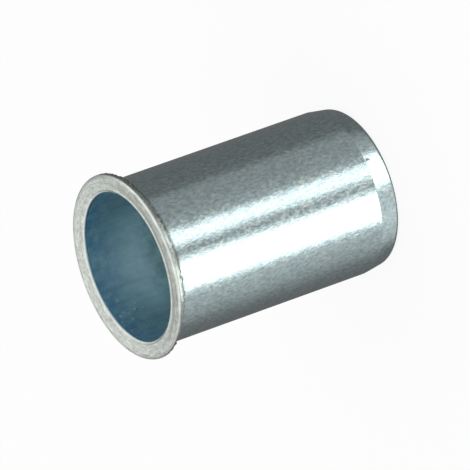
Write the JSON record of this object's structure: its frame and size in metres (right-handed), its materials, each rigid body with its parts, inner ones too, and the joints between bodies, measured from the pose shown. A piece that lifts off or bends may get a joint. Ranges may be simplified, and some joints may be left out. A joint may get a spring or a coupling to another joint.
{
  "type": "clamping nut",
  "caption": "Blind-rivet clamping nut: a plain round tube with a narrow, slightly dished head and an open mouth, threaded in its rear half, set into sheet metal to give it a strong thread.",
  "frame": {"origin": "centre of the flat rear end, on which the nut stands", "axes": "+Z along the nut's axis, from the threaded rear end to the open mouth in the head"},
  "size_m": [0.01, 0.01, 0.0145],
  "materials": {
    "zinc_plate": "bright blue-passivated zinc plate on cold-formed steel, finely mottled"
  },
  "bodies": {
    "root": {"clamping_nut": "zinc_plate"}
  },
  "joints": []
}
